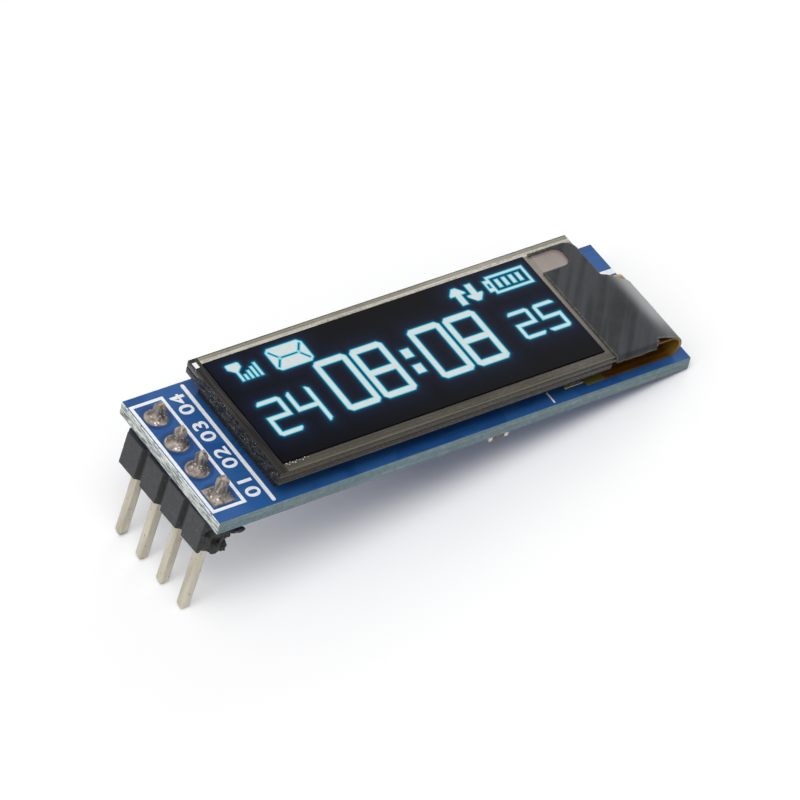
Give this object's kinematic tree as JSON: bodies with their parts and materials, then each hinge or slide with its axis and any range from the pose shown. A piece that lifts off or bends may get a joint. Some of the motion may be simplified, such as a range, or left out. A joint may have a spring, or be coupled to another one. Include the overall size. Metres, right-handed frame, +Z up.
{
  "type": "small oled display module",
  "caption": "Small display module: a blue circuit board with a flat glass display panel on foam, a folded flex cable and a leaning pin header.",
  "frame": {"origin": "centre of the pin row, on the board's underside", "axes": "+X along the board from the header to the folded flex, +Y across the board towards pin 4, +Z up through the glass"},
  "size_m": [0.0385, 0.012, 0.0123],
  "materials": {
    "fibreglass": "sawn glass-fibre board, fibres showing on the cut edges",
    "solder_mask": "glossy blue lacquer with faint tracks under it",
    "white_ink": "printed matt ink",
    "copper_plating": "tinned copper",
    "strip_plastic": "moulded, fine grain, torn at one end",
    "pin_metal": "dull plated brass, satin",
    "solder": "dull, slightly grainy solder with flux haze",
    "foam": "black closed-cell foam tape, grainy",
    "panel_glass": "clear glass over a grey-beige inner plate",
    "seal": "cured sealant",
    "pixel_film": "thin dark film",
    "polariser": "dark film with a soft gloss",
    "lit_pixels": "glowing pale cyan",
    "silicon": "polished chip",
    "flex_film": "amber polyimide film",
    "tinned_copper": "tinned copper fingers",
    "tape": "dark film tape with soft diagonal streaks",
    "moulding": "black epoxy moulding",
    "lead_metal": "tinned leads",
    "capacitor_ceramic": "fired tan ceramic",
    "resistor_top": "glazed black on white ceramic",
    "terminal_metal": "tin-plated ends"
  },
  "bodies": {
    "root": {"board_core": "fibreglass", "mask_top": "solder_mask", "mask_bottom": "solder_mask", "legend": "white_ink", "header_strip": "strip_plastic", "foam_header_end": "foam", "foam_middle": "foam", "cap_glass": "panel_glass", "edge_seal": "seal", "pixel_layer": "pixel_film", "substrate_glass": "panel_glass", "polariser": "polariser", "lit_picture": "lit_pixels", "driver_chip": "silicon", "flex_cable": "flex_film", "flex_fingers": "tinned_copper", "flex_lands": "copper_plating", "shield_tape": "tape", "regulator_body": "moulding", "regulator_leads": "lead_metal", "chip_terminals": "terminal_metal", "chip_lands": "copper_plating", "plated_hole_1": "copper_plating", "header_pin_1": "pin_metal", "solder_joint_1": "solder", "resistor_1": "resistor_top", "plated_hole_2": "copper_plating", "header_pin_2": "pin_metal", "solder_joint_2": "solder", "resistor_2": "resistor_top", "plated_hole_3": "copper_plating", "header_pin_3": "pin_metal", "solder_joint_3": "solder", "resistor_3": "resistor_top", "plated_hole_4": "copper_plating", "header_pin_4": "pin_metal", "solder_joint_4": "solder", "resistor_4": "resistor_top", "capacitor_1": "capacitor_ceramic", "capacitor_2": "capacitor_ceramic", "capacitor_3": "capacitor_ceramic", "capacitor_4": "capacitor_ceramic", "capacitor_5": "capacitor_ceramic", "capacitor_6": "capacitor_ceramic"}
  },
  "joints": []
}
